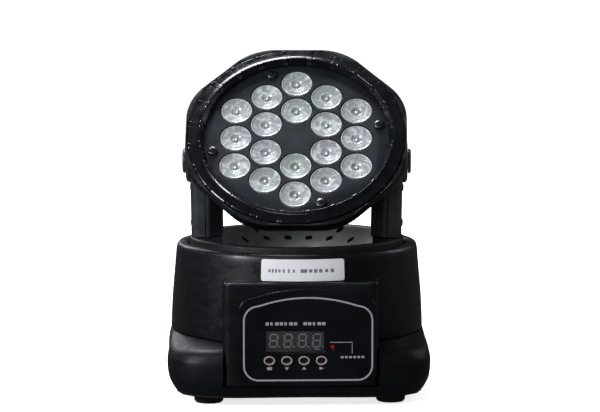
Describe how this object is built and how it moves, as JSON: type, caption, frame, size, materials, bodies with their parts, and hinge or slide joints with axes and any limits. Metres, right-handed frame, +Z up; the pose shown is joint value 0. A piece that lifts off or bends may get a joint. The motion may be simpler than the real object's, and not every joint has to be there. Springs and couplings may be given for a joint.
{
  "type": "moving head light",
  "caption": "LED wash moving head: octagonal head with clear lenses in a round ring, slim two-arm yoke, dished turntable in a round collar, base with control panel and rear sockets.",
  "frame": {"origin": "on the floor under the pan axis, at the middle of the base's footprint", "axes": "+Z up along the pan axis, -Y towards the control panel, which is the front, +X to the viewer's right"},
  "size_m": [0.1752, 0.1789, 0.2272],
  "materials": {
    "shell_plastic": "fine moulded texture, black",
    "arm_plastic": "satin moulded black",
    "deck_plastic": "fine moulded texture, dark grey",
    "head_metal": "satin black powder coat",
    "lens_plate_paint": "satin black paint",
    "lens_acrylic": "clear moulded acrylic",
    "screen_acrylic": "tinted clear acrylic",
    "panel_film": "satin printed film, blue black",
    "socket_plastic": "moulded black",
    "rocker_plastic": "gloss red",
    "lamp_plastic": "gloss red, clear",
    "button_plastic": "satin light grey",
    "label": "white film label",
    "foot_rubber": "black moulded rubber",
    "circuit_board": "green solder mask",
    "zinc_steel": "zinc plated",
    "aluminium": "plain aluminium",
    "black_screw": "blackened steel",
    "belt_rubber": "black timing belt"
  },
  "bodies": {
    "root": {"base_plate": "zinc_steel", "foot_1": "foot_rubber", "foot_2": "foot_rubber", "foot_3": "foot_rubber", "foot_4": "foot_rubber", "base_skirt": "shell_plastic", "base_housing": "shell_plastic", "control_panel": "panel_film", "display_window": "screen_acrylic", "display_module": "socket_plastic", "control_board": "circuit_board", "signal_lamp": "lamp_plastic", "label_sticker": "label", "rear_panel": "panel_film", "power_inlet": "socket_plastic", "switch_frame": "socket_plastic", "dmx_input": "socket_plastic", "dmx_output": "socket_plastic", "power_supply": "aluminium", "pan_bridge": "zinc_steel", "pan_bearing": "zinc_steel", "pan_motor": "zinc_steel", "pan_belt": "belt_rubber"},
    "yoke": {"turntable": "deck_plastic", "pan_shaft": "zinc_steel", "pan_pulley": "aluminium", "left_arm_inner_cover": "arm_plastic", "left_arm_outer_cover": "arm_plastic", "left_arm_pivot_cap": "arm_plastic", "left_arm_bracket": "zinc_steel", "right_arm_inner_cover": "arm_plastic", "right_arm_outer_cover": "arm_plastic", "right_arm_pivot_cap": "arm_plastic", "right_arm_bracket": "zinc_steel", "tilt_motor": "zinc_steel", "tilt_belt": "belt_rubber"},
    "head": {"head_front_shell": "head_metal", "head_rear_shell": "head_metal", "front_ring": "head_metal", "lens_plate": "lens_plate_paint", "lens_array": "lens_acrylic", "plate_screw_1": "black_screw", "plate_screw_2": "black_screw", "plate_screw_3": "black_screw", "plate_screw_4": "black_screw", "led_board": "aluminium", "heat_sink": "aluminium", "fan_frame": "socket_plastic", "rear_grille": "zinc_steel", "left_trunnion": "aluminium", "right_trunnion": "aluminium", "tilt_pulley": "aluminium"},
    "fan": {"fan_rotor": "socket_plastic"},
    "pan_motor_drive": {"pan_motor_pulley": "aluminium"},
    "tilt_motor_drive": {"tilt_motor_pulley": "aluminium"},
    "rocker": {"power_switch": "rocker_plastic"},
    "button_menu": {"button_menu": "button_plastic"},
    "button_down": {"button_down": "button_plastic"},
    "button_up": {"button_up": "button_plastic"},
    "button_enter": {"button_enter": "button_plastic"}
  },
  "joints": [
    {"name": "pan", "type": "hinge", "parent": "root", "child": "yoke", "pos_m": [0, 0, 0.09], "axis": [0, 0, 1], "range_deg": [-267, 273]},
    {"name": "tilt", "type": "hinge", "parent": "yoke", "child": "head", "pos_m": [0, 0, 0.1537], "axis": [-0.9986, 0.0523, 0], "range_deg": [-42.5, 137.5]},
    {"name": "fan_spin", "type": "hinge", "parent": "head", "child": "fan", "pos_m": [0.00052, 0.00994, 0.14458], "axis": [0.0386, 0.7363, -0.6756], "continuous": true},
    {"name": "pan_motor_spin", "type": "hinge", "parent": "root", "child": "pan_motor_drive", "pos_m": [0.047, 0, 0.055], "axis": [0, 0, 1], "range_deg": [-1002, 1024]},
    {"name": "tilt_motor_spin", "type": "hinge", "parent": "yoke", "child": "tilt_motor_drive", "pos_m": [-0.06691, 0.00351, 0.119], "axis": [-0.9986, 0.0523, 0], "range_deg": [-86, 276]},
    {"name": "power_switch_rock", "type": "hinge", "parent": "root", "child": "rocker", "pos_m": [0.022, 0.084, 0.032], "axis": [1, 0, 0], "range_deg": [0, 18]},
    {"name": "button_menu_press", "type": "slide", "parent": "root", "child": "button_menu", "axis": [0, 1, 0], "range_m": [0, 0.0007], "stiffness_N_per_m": 400},
    {"name": "button_down_press", "type": "slide", "parent": "root", "child": "button_down", "axis": [0, 1, 0], "range_m": [0, 0.0007], "stiffness_N_per_m": 400},
    {"name": "button_up_press", "type": "slide", "parent": "root", "child": "button_up", "axis": [0, 1, 0], "range_m": [0, 0.0007], "stiffness_N_per_m": 400},
    {"name": "button_enter_press", "type": "slide", "parent": "root", "child": "button_enter", "axis": [0, 1, 0], "range_m": [0, 0.0007], "stiffness_N_per_m": 400}
  ],
  "couplings": [
    {"joint": "pan_motor_spin", "follows": "pan", "ratio": 3.75},
    {"joint": "tilt_motor_spin", "follows": "tilt", "ratio": 2}
  ]
}
